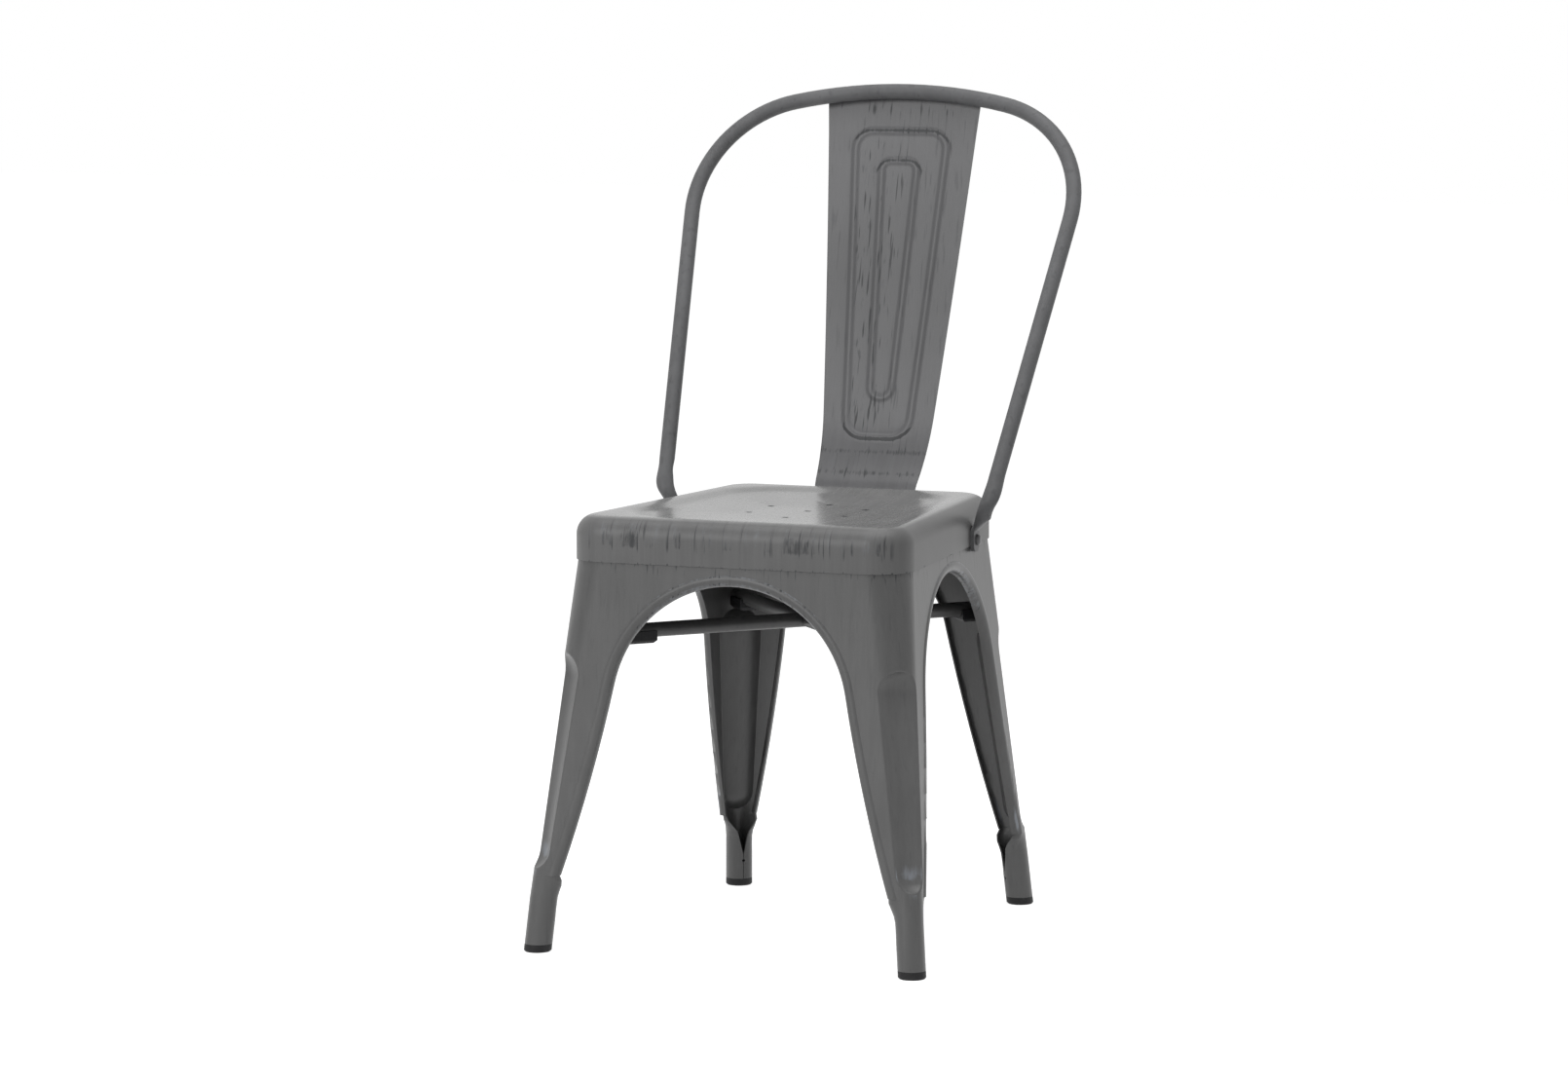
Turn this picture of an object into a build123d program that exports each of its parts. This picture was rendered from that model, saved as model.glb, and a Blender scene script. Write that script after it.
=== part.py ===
"""Pressed-steel dining chair with a tube back, made of separate pieces, in millimetres.

+Z is up and the chair faces -Y. The origin is on the floor, under the middle of the chair's outline.
"""

import os
from math import acos, cos, hypot, pi, radians, sin, sqrt, tan

from build123d import *

os.makedirs("parts", exist_ok=True)

# Overall sizes
OVERALL_HEIGHT = 850
OVERALL_DEPTH = 524

# Sheet steel and the gap that welded or bolted pieces keep
SHEET = 1.5
FIT_GAP = 0.2

# Seat pan; the seam is the lower edge of its skirt
SEAT_HEIGHT = 437
SKIRT_HEIGHT = 45
SEAT_DEPTH = 360
FRONT_HALF_WIDTH = 181
REAR_HALF_WIDTH = 146
SEAM_CORNER_RADIUS = 38
PAN_ROLL = 20
DISH_DEPTH = 10
DISH_BORDER = 26
DISH_CORNER_RADIUS = 70
DISH_WALL_ANGLE = 62
DISH_EDGE = 26
DRAIN_DIAMETER = 5
DRAIN_RING_RADIUS = 60
DRAIN_COUNT = 6
DRAIN_SETBACK = 25

# Legs: how far they lean out from the seam to the floor
FRONT_SPLAY = 38
REAR_SPLAY = 58
SIDE_SPLAY = 35
COLLAR_HEIGHT = 22
ARCH_DROP = 11.5
FRONT_FLANGE_SEAM = 74
FRONT_FLANGE_AIM = 39
FRONT_FLANGE_KNEE = 26
REAR_FLANGE_SEAM = 66
REAR_FLANGE_AIM = 33
REAR_FLANGE_KNEE = 22

# Rolled lip round the arches and down the legs
LIP_RADIUS = 7
LIP_BULGE = 1.2
LIP_RETURN = 9
LIP_ROOT = 6.5
LIP_HIGH_ANGLE = 100
LIP_RUN = 15

# Foot of a leg, where the two flanges curl into a tube
KNEE_Z = 78
KNEE_LAP = 0.4
TUBE_TOP_Z = 54
SLIT_END_Z = 35
FOOT_RADIUS = 14
CURL_STEPS = 5
SLIT_WIDE = 40
SLIT_NARROW = 3
FLANGE_EASE = 0.1
VENT_DIAMETER = 3
VENT_DROP = 7

# Flute pressed into the outer corner of each leg
FLUTE_TOP_DEPTH = 28.5
FLUTE_FOOT_DEPTH = 17.5
FLUTE_AXIS_OUT = 20
FLUTE_TOP_DROP = 12
FLUTE_FOOT_RISE = 3
FLUTE_TOP_ROUND = 26
FLUTE_FOOT_ROUND = 24
FLUTE_EDGE = 2.5

# Foot plugs
PLUG_HEIGHT = 8
PLUG_CHAMFER = 1.5
PLUG_STEM = 14

# Cross brace and its stacking buffers
BRACE_DIAMETER = 15
BRACE_WALL = 1.5
BRACE_Z = 316.5
BUFFER_LENGTH = 32
BUFFER_WIDTH = 21
BUFFER_DROP = 5
BUFFER_CHAMFER = 3
FRONT_BUFFER_INSET = 93
REAR_BUFFER_INSET = 36

# Back hoop
HOOP_DIAMETER = 16
HOOP_WALL = 1.5
HOOP_LEAN = 0.55
HOOP_LOW_Z = 480
HOOP_LOW_HALF = 184
HOOP_FLARE = 5.7
HOOP_CORNER_RADIUS = 122
HOOP_CROWN_RADIUS = 507
NECK_TOP_Z = 458
NECK_DROP = 12
NECK_BEND_RADIUS = 28
TONGUE_THICKNESS = 4
TONGUE_WIDTH = 22
TONGUE_ABOVE_BOLT = 8
TONGUE_BELOW_BOLT = 15
TONGUE_TAPER = 14
TONGUE_LAP = 4
TONGUE_CORNER = 9
TONGUE_EASE = 0.3
BOLT_ABOVE_SEAM = 6

# Back splat
SPLAT_TOP_HALF = 86
SPLAT_FOOT_HALF = 53
SPLAT_TAIL_START = 4
SPLAT_TAIL = 22
SPLAT_LOW_RADIUS = 40
SPLAT_LOW_TURN = 40
SPLAT_MID_RADIUS = 170
SPLAT_MID_TURN = 25
SPLAT_TOP_LEAN = 11
SPLAT_TOP_LAP = 4
RIB_WIDTH = 8
RIB_HEIGHT = 1
OUTER_RIB_TOP_Z = 801
OUTER_RIB_FOOT_Z = 483
OUTER_RIB_TOP_HALF = 54
OUTER_RIB_FOOT_HALF = 41
OUTER_RIB_CORNER = 24
INNER_RIB_TOP_Z = 770
INNER_RIB_FOOT_Z = 520
INNER_RIB_TOP_HALF = 24
INNER_RIB_FOOT_HALF = 16
INNER_RIB_CORNER = 12

# Fasteners
BOLT_DIAMETER = 6
HEAD_DIAMETER = 11
HEAD_HEIGHT = 4
HEAD_ROUND = 3
NUT_ACROSS = 10
NUT_HEIGHT = 5
WASHER_DIAMETER = 12
WASHER_HEIGHT = 1.2
THREAD_PAST_NUT = 2
SPLAT_BOLT_HALF_SPACING = 32
SPLAT_BOLT_ABOVE_SEAM = 13

# Places worked out from the sizes
SEAM_Z = SEAT_HEIGHT - SKIRT_HEIGHT
FRONT_FLOOR_Y = -OVERALL_DEPTH / 2
FRONT_SEAM_Y = FRONT_FLOOR_Y + FRONT_SPLAY
REAR_SEAM_Y = FRONT_SEAM_Y + SEAT_DEPTH
SIDE_TAPER = (REAR_HALF_WIDTH - FRONT_HALF_WIDTH) / SEAT_DEPTH
SIDE_SLOPE = (SIDE_SPLAY + SIDE_TAPER * FRONT_SPLAY) / SEAM_Z
SKIRT_OUT = FIT_GAP + SHEET
HOLE_RADIUS = BOLT_DIAMETER / 2 + FIT_GAP
FLUTE_TOP_Z = BRACE_Z - FLUTE_TOP_DROP
FLUTE_FOOT_Z = KNEE_Z + FLUTE_FOOT_RISE
BOLT_Z = SEAM_Z + BOLT_ABOVE_SEAM
SPLAT_BOLT_Z = SEAM_Z + SPLAT_BOLT_ABOVE_SEAM
FRONT = -1
REAR = 1
RISING = (Align.CENTER, Align.CENTER, Align.MIN)
FALLING = (Align.CENTER, Align.CENTER, Align.MAX)
# Lengths that reach well past the sheet, and how far the leg halves lap before they are cut to meet
FAR = 60
HOLE_REACH = 4 * (SHEET + FIT_GAP)
LEG_LAP = 5


def end_y(end, z):
    """Y of the front or rear leg face at height z."""
    drop = (SEAM_Z - z) / SEAM_Z
    if end == FRONT:
        return FRONT_SEAM_Y - FRONT_SPLAY * drop
    return REAR_SEAM_Y + REAR_SPLAY * drop


def half_width(y, z):
    """X of the right-hand side face at a depth and a height."""
    return FRONT_HALF_WIDTH + SIDE_TAPER * (y - FRONT_SEAM_Y) + SIDE_SLOPE * (SEAM_Z - z)


def corner(end, z, inset=0):
    """Sharp corner of the right-hand side at height z, with both faces moved in by inset."""
    y = end_y(end, z) - end * inset
    return Vector(half_width(y, z) - inset * hypot(1, SIDE_TAPER), y, z)


def corner_radius(z):
    """Radius of a leg's outer corner, which grows from the foot tube to the seam."""
    rise = max(0, z - TUBE_TOP_Z) / (SEAM_Z - TUBE_TOP_Z)
    return FOOT_RADIUS + (SEAM_CORNER_RADIUS - FOOT_RADIUS) * rise


# The leg faces as planes with their origin on the seam, +X to the right seen from outside and +Z outwards
FRONT_FACE = Plane((0, FRONT_SEAM_Y, SEAM_Z), x_dir=(1, 0, 0), z_dir=(0, -SEAM_Z, FRONT_SPLAY))
REAR_FACE = Plane((0, REAR_SEAM_Y, SEAM_Z), x_dir=(-1, 0, 0), z_dir=(0, SEAM_Z, REAR_SPLAY))
SIDE_FACE = Plane(
    (half_width(0, SEAM_Z), 0, SEAM_Z), x_dir=(SIDE_TAPER, 1, 0), z_dir=(1, -SIDE_TAPER, SIDE_SLOPE)
)


class Arch:
    """Line of the rolled lip on one face: an arc between two leg edges that bend in towards the knees."""

    def __init__(self, face, left, right, left_flange, right_flange):
        self.face = face
        self.knee = {}
        edges = []
        for place, flange, way in ((left, left_flange, 1), (right, right_flange, -1)):
            low = face.to_local_coords(place(KNEE_Z))
            aim = low + Vector(way * flange[1], 0)
            seam = face.to_local_coords(place(SEAM_Z)) + Vector(way * flange[2], 0)
            up = (seam - aim).normalized()
            self.knee[-way] = Vector(low.X + way * flange[0], low.Y)
            edges.append((Vector(aim.X, aim.Y), Vector(way * up.Y, -way * up.X)))
        (p, m), (q, n) = edges
        # The arc touches both edges and its top is ARCH_DROP below the seam
        a = p.X * m.X + p.Y * m.Y - ARCH_DROP
        b = q.X * n.X + q.Y * n.Y - ARCH_DROP
        det = m.X * (n.Y + 1) - n.X * (m.Y + 1)
        self.centre = Vector((a * (n.Y + 1) - b * (m.Y + 1)) / det, (m.X * b - n.X * a) / det)
        self.radius = -ARCH_DROP - self.centre.Y
        self.apex = self.centre + Vector(0, self.radius)
        self.spring = {-1: self.centre - m * self.radius, 1: self.centre - n * self.radius}
        self.crown = {}
        self.bend = {}
        self.heading = {}
        for way, point in self.spring.items():
            inward = (self.centre - point).normalized()
            half = (Vector(0, 1) - inward).normalized()
            self.crown[way] = self.centre + half * self.radius
            # Below the arch the edge bends away from it, on an arc that starts along the straight edge
            chord = self.knee[way] - point
            middle = point + inward * (chord.dot(chord) / (2 * chord.dot(inward)))
            radius = (point - middle).length
            self.bend[way] = middle + (point + self.knee[way] - middle * 2).normalized() * radius
            out = (self.knee[way] - middle).normalized()
            heading = Vector(-out.Y, out.X)
            self.heading[way] = heading if heading.Y < 0 else heading * -1


def front_flange(end):
    """Flange widths of a front or rear leg: at the knee, where a straight edge would end, and at the seam."""
    if end == FRONT:
        return FRONT_FLANGE_KNEE, FRONT_FLANGE_AIM, FRONT_FLANGE_SEAM
    return REAR_FLANGE_KNEE, REAR_FLANGE_AIM, REAR_FLANGE_SEAM


def mirrored(point):
    """The same point on the left-hand side."""
    return Vector(-point.X, point.Y, point.Z)


def right_corner(end):
    """Height to place of the right-hand corner."""
    return lambda z: corner(end, z)


def left_corner(end):
    """Height to place of the left-hand corner."""
    return lambda z: mirrored(corner(end, z))


END_ARCH = {
    FRONT: Arch(FRONT_FACE, left_corner(FRONT), right_corner(FRONT), *[front_flange(FRONT)] * 2),
    REAR: Arch(REAR_FACE, right_corner(REAR), left_corner(REAR), *[front_flange(REAR)] * 2),
}
SIDE_ARCH = Arch(SIDE_FACE, right_corner(FRONT), right_corner(REAR), *[front_flange(FRONT)] * 2)
SPLIT_Y = SIDE_FACE.from_local_coords(SIDE_ARCH.apex).Y


def corner_block(end, inset):
    """Solid corner under the seat with its faces moved in by inset and the flute pressed into it."""
    past = FAR if inset else LEG_LAP
    x_in = -past
    y_in = SPLIT_Y - end * past
    with BuildPart() as block:
        for z in (KNEE_Z - inset, SEAM_Z):
            tip = corner(end, z, inset)
            with BuildSketch(Plane.XY.offset(z)) as section:
                with BuildLine():
                    x_far = half_width(y_in, z) - inset * hypot(1, SIDE_TAPER)
                    Polyline((tip.X, tip.Y), (x_in, tip.Y), (x_in, y_in), (x_far, y_in), close=True)
                make_face()
                fillet(section.vertices().sort_by_distance(tip)[0], corner_radius(z) - inset)
        loft(ruled=True)
        extrude(block.faces().sort_by(Axis.Z)[-1], amount=COLLAR_HEIGHT + inset)
        add(flute_tool(end, inset), mode=Mode.SUBTRACT)
        fillet(block.edges(Select.NEW), FLUTE_EDGE - inset)
    return block.part


def corner_ways(end):
    """Unit vectors from a corner along its end face and along its side face, towards the chair's middle."""
    return Vector(-1, 0), Vector(-end * SIDE_TAPER, -end).normalized()


def flute_plane(end):
    """Plane through a leg's sharp corner line and its diagonal: +X up the line, +Y outwards."""
    along, across = corner_ways(end)
    up = corner(end, SEAM_Z) - corner(end, 0)
    return Plane(corner(end, 0), x_dir=up, z_dir=up.cross((along + across) * -1))


def flute_tool(end, inset):
    """Tapered bar with rounded ends that presses the flute into a corner, larger all round by inset."""
    plane = flute_plane(end)
    rise = (corner(end, SEAM_Z) - corner(end, 0)).length / SEAM_Z
    low = FLUTE_FOOT_Z * rise - inset
    high = FLUTE_TOP_Z * rise + inset
    with BuildPart() as tool:
        with BuildSketch(plane) as profile:
            with BuildLine():
                Polyline(
                    (low, FLUTE_AXIS_OUT),
                    (low, -FLUTE_FOOT_DEPTH - inset),
                    (high, -FLUTE_TOP_DEPTH - inset),
                    (high, FLUTE_AXIS_OUT),
                    close=True,
                )
            make_face()
            top = profile.vertices().sort_by_distance((high, -FLUTE_TOP_DEPTH - inset))[0]
            fillet(top, FLUTE_TOP_ROUND + inset)
            foot = profile.vertices().sort_by_distance((low, -FLUTE_FOOT_DEPTH - inset))[0]
            fillet(foot, FLUTE_FOOT_ROUND + inset)
        revolve(axis=Axis(plane.from_local_coords((0, FLUTE_AXIS_OUT, 0)), plane.x_dir))
    return tool.part


def arch_opening(arch, way):
    """Half of an arch's opening, from its middle line out to the lip line."""
    below = arch.knee[way] - Vector(0, FAR)
    with BuildSketch(arch.face) as opening:
        with BuildLine():
            ThreePointArc(arch.apex, arch.crown[way], arch.spring[way])
            ThreePointArc(arch.spring[way], arch.bend[way], arch.knee[way])
            Polyline(arch.knee[way], below, Vector(arch.apex.X, below.Y), arch.apex)
        make_face()
    return opening.sketch


def lip_sketch(arch, way):
    """Section of the rolled lip at the top of an arch: +X towards the sheet, +Y out of the face."""
    face = arch.face
    plane = Plane(face.from_local_coords(arch.apex), x_dir=face.y_dir, z_dir=face.x_dir * way)
    root = LIP_RADIUS - LIP_BULGE
    inner = LIP_RADIUS - SHEET
    skin = SHEET / 4
    outer_x = sqrt(LIP_RADIUS**2 - (root - skin) ** 2)
    inner_x = sqrt(inner**2 - (root - SHEET + skin) ** 2)
    high = radians(LIP_HIGH_ANGLE)

    def at(x, y):
        return (x, way * y)

    def on_arc(radius, angle):
        return at(radius * cos(angle), radius * sin(angle) - root)

    with BuildSketch(plane) as section:
        with BuildLine():
            start = at(outer_x, -skin)
            end = at(-LIP_RADIUS, -root)
            ThreePointArc(start, on_arc(LIP_RADIUS, high), end)
            Polyline(end, at(-LIP_RADIUS, -LIP_RETURN), at(-inner, -LIP_RETURN), at(-inner, -root))
            tail = at(inner_x, skin - SHEET)
            ThreePointArc(at(-inner, -root), on_arc(inner, high), tail)
            Polyline(tail, at(LIP_ROOT, skin - SHEET), at(LIP_ROOT, -skin), start)
        make_face()
    return section.sketch


def curl_points(start, way, normal, pieces, depth):
    """Points along a sheet that bends by pieces of a length and a curvature, at a depth below its face."""
    rows = []
    for length, bend in pieces:
        angle = length * bend
        row = []
        for turn in (0, angle / 2, angle):
            along = sin(turn) / bend if bend else length * (turn + len(row) / 2)
            into = (1 - cos(turn)) / bend if bend else 0
            out = normal * cos(turn) - way * sin(turn)
            row.append(start + way * along + normal * into + out * depth)
        rows.append(row)
        start = row[-1] - out * depth
        way = way * cos(angle) + normal * sin(angle)
        normal = out
    return rows


def foot_section(end, z, pieces):
    """Section of the sheet at height z: a rounded corner with a flange on each side that bends inwards."""
    along, across = corner_ways(end)
    inward = (along + across).normalized()
    opening = acos(along.dot(across))
    radius = corner_radius(z)
    reach = radius / tan(opening / 2)
    tip = corner(end, z)
    tip = Vector(tip.X, tip.Y)
    centre = tip + inward * (radius / sin(opening / 2))
    ends = []
    with BuildSketch(Plane.XY.offset(z)) as section:
        with BuildLine():
            for depth in (0, SHEET):
                starts = []
                for way, other in ((along, across), (across, along)):
                    normal = (other - way * other.dot(way)).normalized()
                    rows = curl_points(tip + way * reach, way, normal, pieces, depth)
                    for row, (_, bend) in zip(rows, pieces):
                        if bend:
                            ThreePointArc(*row)
                        else:
                            Line(row[0], row[-1])
                    starts.append(rows[0][0])
                    ends.append(rows[-1][-1])
                ThreePointArc(starts[0], centre - inward * (radius - depth), starts[1])
            Line(ends[0], ends[2])
            Line(ends[1], ends[3])
        make_face()
    return section.sketch


def foot_centre(end, z):
    """Middle of the foot tube at height z."""
    along, across = corner_ways(end)
    opening = acos(along.dot(across))
    return corner(end, z) + (along + across).normalized() * (FOOT_RADIUS / sin(opening / 2))


def tube_curl(end, slit):
    """Curl of each flange that closes the foot into a tube, but for a slit of the given angle."""
    along, across = corner_ways(end)
    return (pi + acos(along.dot(across)) - radians(slit)) / 2


def curled_foot(end, z, slit, closed):
    """Section between the knee, where only the lip is bent, and the tube, where the whole flange is."""
    along, across = corner_ways(end)
    reach = corner_radius(KNEE_Z) / tan(acos(along.dot(across)) / 2)
    lip = LIP_RADIUS * pi / 2
    flat = front_flange(end)[0] - reach
    round_length = (FOOT_RADIUS + FLANGE_EASE) * tube_curl(end, slit) - lip
    flange = (flat + (round_length - flat) * closed, closed / (FOOT_RADIUS + FLANGE_EASE))
    lip_bend = (1 - closed) / LIP_RADIUS + closed / (FOOT_RADIUS + 2 * FLANGE_EASE)
    return foot_section(end, z, [flange, (lip, lip_bend)])


def pressed_leg(end):
    """Right-hand leg at the front or the rear, pressed from one sheet."""
    along, across = corner_ways(end)
    with BuildPart() as leg:
        add(corner_block(end, 0))
        add(corner_block(end, SHEET), mode=Mode.SUBTRACT)
        for arch, way in ((END_ARCH[end], -end), (SIDE_ARCH, end)):
            extrude(arch_opening(arch, way), amount=FAR / 2, both=True, mode=Mode.SUBTRACT)
            knee_end = arch.knee[way] + arch.heading[way] * LIP_RUN
            path = [arch.apex, arch.crown[way], arch.spring[way], arch.bend[way], arch.knee[way], knee_end]
            apex, crown, spring, bend, knee, past_knee = map(arch.face.from_local_coords, path)
            with BuildLine() as lip_line:
                ThreePointArc(apex, crown, spring)
                ThreePointArc(spring, bend, knee)
                Line(knee, past_knee)
            sweep(lip_sketch(arch, way), path=lip_line.line)
        split(bisect_by=Plane.XY.offset(KNEE_Z), keep=Keep.TOP)
        sections = []
        curl_top = KNEE_Z + KNEE_LAP
        for step in range(CURL_STEPS):
            share = step / (CURL_STEPS - 1)
            closed = 1 - (1 - share) ** 2
            sections.append(curled_foot(end, curl_top + (TUBE_TOP_Z - curl_top) * share, SLIT_WIDE, closed))
        for z in (SLIT_END_Z, PLUG_HEIGHT):
            sections.append(curled_foot(end, z, SLIT_NARROW, 1))
        loft(sections, ruled=True)
        with Locations(Plane(foot_centre(end, SLIT_END_Z - VENT_DROP), z_dir=along + across)):
            Cylinder(VENT_DIAMETER / 2, 2 * FOOT_RADIUS, align=RISING, mode=Mode.SUBTRACT)
        split(bisect_by=Plane.YZ.offset(FIT_GAP / 2), keep=Keep.TOP)
        apex = SIDE_FACE.from_local_coords(SIDE_ARCH.apex)
        split(bisect_by=Plane(apex, z_dir=SIDE_FACE.x_dir * end).offset(FIT_GAP / 2), keep=Keep.TOP)
    return leg.part


def plan_points(z, inset):
    """The four corners of the under-frame at height z, with its faces moved in by inset."""
    right = [corner(end, z, inset) for end in (FRONT, REAR)]
    points = [(p.X, p.Y) for p in right]
    return points + [(-p.X, p.Y) for p in reversed(right)]


def pan_block(inset, low, high, roll):
    """Solid seat between two heights with its skirt moved in by inset and its top edge rolled."""
    with BuildPart() as block:
        with BuildSketch(Plane.XY.offset(low)) as plan:
            with BuildLine():
                Polyline(*plan_points(SEAM_Z, inset), close=True)
            make_face()
            fillet(plan.vertices(), SEAM_CORNER_RADIUS - inset)
        extrude(amount=high - low)
        fillet(block.faces().sort_by(Axis.Z)[-1].edges(), roll)
        with BuildSketch(Plane.XY.offset(high)) as dish:
            with BuildLine():
                Polyline(*plan_points(SEAM_Z, DISH_BORDER), close=True)
            make_face()
            fillet(dish.vertices(), DISH_CORNER_RADIUS)
        extrude(amount=-DISH_DEPTH, taper=DISH_WALL_ANGLE, mode=Mode.SUBTRACT)
        floor, border = block.faces().filter_by(Axis.Z).sort_by(Axis.Z)[-2:]
        fillet(floor.edges() + border.inner_wires()[0].edges(), DISH_EDGE)
    return block.part


# Hoop: a plane that leans back, with its top tube clear of the splat behind it
HOOP_RADIUS = HOOP_DIAMETER / 2
LEAN = radians(SPLAT_TOP_LEAN)
SPLAT_SEAT = HOOP_RADIUS + FIT_GAP
CROWN_Z = OVERALL_HEIGHT - HOOP_RADIUS
CROWN_Y = OVERALL_DEPTH / 2 - (SPLAT_SEAT + SHEET) * cos(LEAN) - SPLAT_TOP_LAP * sin(LEAN)
HOOP_SLOPE = hypot(1, HOOP_LEAN)
TONGUE_TOP_Z = BOLT_Z + TONGUE_ABOVE_BOLT
TUBE_END_Z = TONGUE_TOP_Z + TONGUE_TAPER


def hoop_point(x, rise):
    """Point in the hoop's plane at a distance up it from the low line."""
    z = HOOP_LOW_Z + rise / HOOP_SLOPE
    return Vector(x, CROWN_Y - HOOP_LEAN * (CROWN_Z - z), z)


def hoop_line():
    """Middle line of the hoop tube, from the right-hand neck over the crown to the left-hand neck."""
    flare = radians(HOOP_FLARE)
    crown_rise = (CROWN_Z - HOOP_LOW_Z) * HOOP_SLOPE
    crown_centre = crown_rise - HOOP_CROWN_RADIUS
    # The corner arc touches the flared side and, from inside, the crown arc
    k = tan(flare)
    start = HOOP_LOW_HALF - HOOP_CORNER_RADIUS / cos(flare)
    gap = HOOP_CROWN_RADIUS - HOOP_CORNER_RADIUS
    b = start * k - crown_centre
    c = start**2 + crown_centre**2 - gap**2
    rise = (-b + sqrt(b**2 - (1 + k**2) * c)) / (1 + k**2)
    centre = Vector(start + k * rise, rise)
    side = centre + Vector(cos(flare), -sin(flare)) * HOOP_CORNER_RADIUS
    out = (centre - Vector(0, crown_centre)).normalized()
    shoulder = centre + out * HOOP_CORNER_RADIUS
    bend = centre + (out + Vector(cos(flare), -sin(flare))).normalized() * HOOP_CORNER_RADIUS
    low_rise = (NECK_TOP_Z - HOOP_LOW_Z) * HOOP_SLOPE
    neck = hoop_point(HOOP_LOW_HALF + k * low_rise, low_rise)
    tongue = tongue_plane()
    tube = tongue.origin + tongue.z_dir * HOOP_RADIUS
    foot = Vector(tube.X, tube.Y, TUBE_END_Z)
    elbow = Vector(tube.X, tube.Y, TUBE_END_Z + NECK_DROP)
    right = [hoop_point(p.X, p.Y) for p in (side, bend, shoulder)]
    left = [hoop_point(-p.X, p.Y) for p in (side, bend, shoulder)]
    with BuildLine() as line:
        FilletPolyline(foot, elbow, neck, right[0], radius=NECK_BEND_RADIUS)
        ThreePointArc(*right)
        ThreePointArc(right[2], hoop_point(0, crown_rise), left[2])
        ThreePointArc(*reversed(left))
        FilletPolyline(left[0], *map(mirrored, (neck, elbow, foot)), radius=NECK_BEND_RADIUS)
    return line.line


def tongue_plane():
    """Right-hand bolt seat: its origin on the tongue's inner face, +X forwards and +Z out of the skirt."""
    y = CROWN_Y - HOOP_LEAN * (CROWN_Z - NECK_TOP_Z)
    skirt = half_width(y, SEAM_Z) + (SKIRT_OUT + FIT_GAP) * hypot(1, SIDE_TAPER)
    return Plane((skirt, y, BOLT_Z), x_dir=(-SIDE_TAPER, -1, 0), z_dir=(1, -SIDE_TAPER, 0))


def splat_bolt_plane(x):
    """Bolt seat on the splat's tail: its origin on the tail's front face, +Z backwards."""
    return Plane((x, REAR_SEAM_Y + SKIRT_OUT + FIT_GAP, SPLAT_BOLT_Z), x_dir=(-1, 0, 0), z_dir=(0, 1, 0))


def flipped(plane):
    """The same seat on the left-hand side."""
    return Plane(mirrored(plane.origin), x_dir=mirrored(plane.x_dir) * -1, z_dir=mirrored(plane.z_dir))


HOOP_SEATS = {"right": tongue_plane(), "left": flipped(tongue_plane())}
SPLAT_SEATS = [splat_bolt_plane(x) for x in (-SPLAT_BOLT_HALF_SPACING, SPLAT_BOLT_HALF_SPACING)]


def splat_points(depth):
    """Side view of the splat's front face moved back by depth, as the points of its lines and arcs."""
    low = Vector(REAR_SEAM_Y + SKIRT_OUT + FIT_GAP, SEAM_Z + SPLAT_TAIL_START)
    tail = low + Vector(0, SPLAT_TAIL)
    turned = radians(SPLAT_LOW_TURN)
    first = tail + Vector(SPLAT_LOW_RADIUS, 0)
    lean = turned - radians(SPLAT_MID_TURN)

    def on_first(angle):
        return first + Vector(-cos(angle), sin(angle)) * (SPLAT_LOW_RADIUS - depth)

    second = first + Vector(-cos(turned), sin(turned)) * (SPLAT_LOW_RADIUS + SPLAT_MID_RADIUS)

    def on_second(angle):
        return second + Vector(cos(angle), -sin(angle)) * (SPLAT_MID_RADIUS + depth)

    start = second + Vector(cos(lean), -sin(lean)) * SPLAT_MID_RADIUS
    seat = Vector(CROWN_Y + SPLAT_SEAT * cos(LEAN), CROWN_Z - SPLAT_SEAT * sin(LEAN))
    left = Vector(-cos(lean), sin(lean))
    chord = seat - start
    bend = chord.dot(chord) / (2 * chord.dot(left))
    third = start + left * bend

    def on_third(point):
        return third + (point - third) * ((bend + depth) / bend)

    middle = third + ((start - third) + (seat - third)).normalized() * abs(bend)
    out = (seat - third) * (1 / bend)
    top = seat + Vector(-out.Y, out.X) * SPLAT_TOP_LAP + out * depth
    back = Vector(depth, 0)
    return [
        low + back,
        tail + back,
        on_first(turned / 2),
        on_first(turned),
        on_second((turned + lean) / 2),
        on_second(lean),
        on_third(middle),
        on_third(seat),
        top,
    ]


def splat_strip():
    """Side view of the splat's sheet."""
    with BuildSketch(Plane.YZ) as strip:
        with BuildLine():
            for depth in (0, SHEET):
                p = splat_points(depth)
                Line(p[0], p[1])
                ThreePointArc(p[1], p[2], p[3])
                ThreePointArc(p[3], p[4], p[5])
                ThreePointArc(p[5], p[6], p[7])
                Line(p[7], p[8])
            front, back = splat_points(0), splat_points(SHEET)
            Line(front[0], back[0])
            Line(front[8], back[8])
        make_face()
    return strip.sketch


def splat_outline():
    """Front view of the splat: a tapered strip whose top follows the hoop's crown."""
    low = SEAM_Z + SPLAT_TAIL_START
    high = splat_points(0)[8].Y
    sag = SPLAT_TOP_HALF**2 / (2 * HOOP_CROWN_RADIUS * HOOP_SLOPE)
    with BuildSketch(Plane.XZ) as outline:
        with BuildLine():
            Polyline(
                (SPLAT_TOP_HALF, high - sag),
                (SPLAT_FOOT_HALF, low),
                (-SPLAT_FOOT_HALF, low),
                (-SPLAT_TOP_HALF, high - sag),
            )
            ThreePointArc((-SPLAT_TOP_HALF, high - sag), (0, high), (SPLAT_TOP_HALF, high - sag))
        make_face()
    return outline.sketch


def rib_panel(top, foot, top_half, foot_half, radius, inset):
    """Front view of the tapered panel inside a rib's outer edge, smaller all round by inset."""
    with BuildSketch(Plane.XZ) as panel:
        with BuildLine():
            Polyline(
                (top_half - inset, top - inset),
                (foot_half - inset, foot + inset),
                (inset - foot_half, foot + inset),
                (inset - top_half, top - inset),
                close=True,
            )
        make_face()
        fillet(panel.vertices(), radius - inset)
    return panel.sketch


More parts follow.
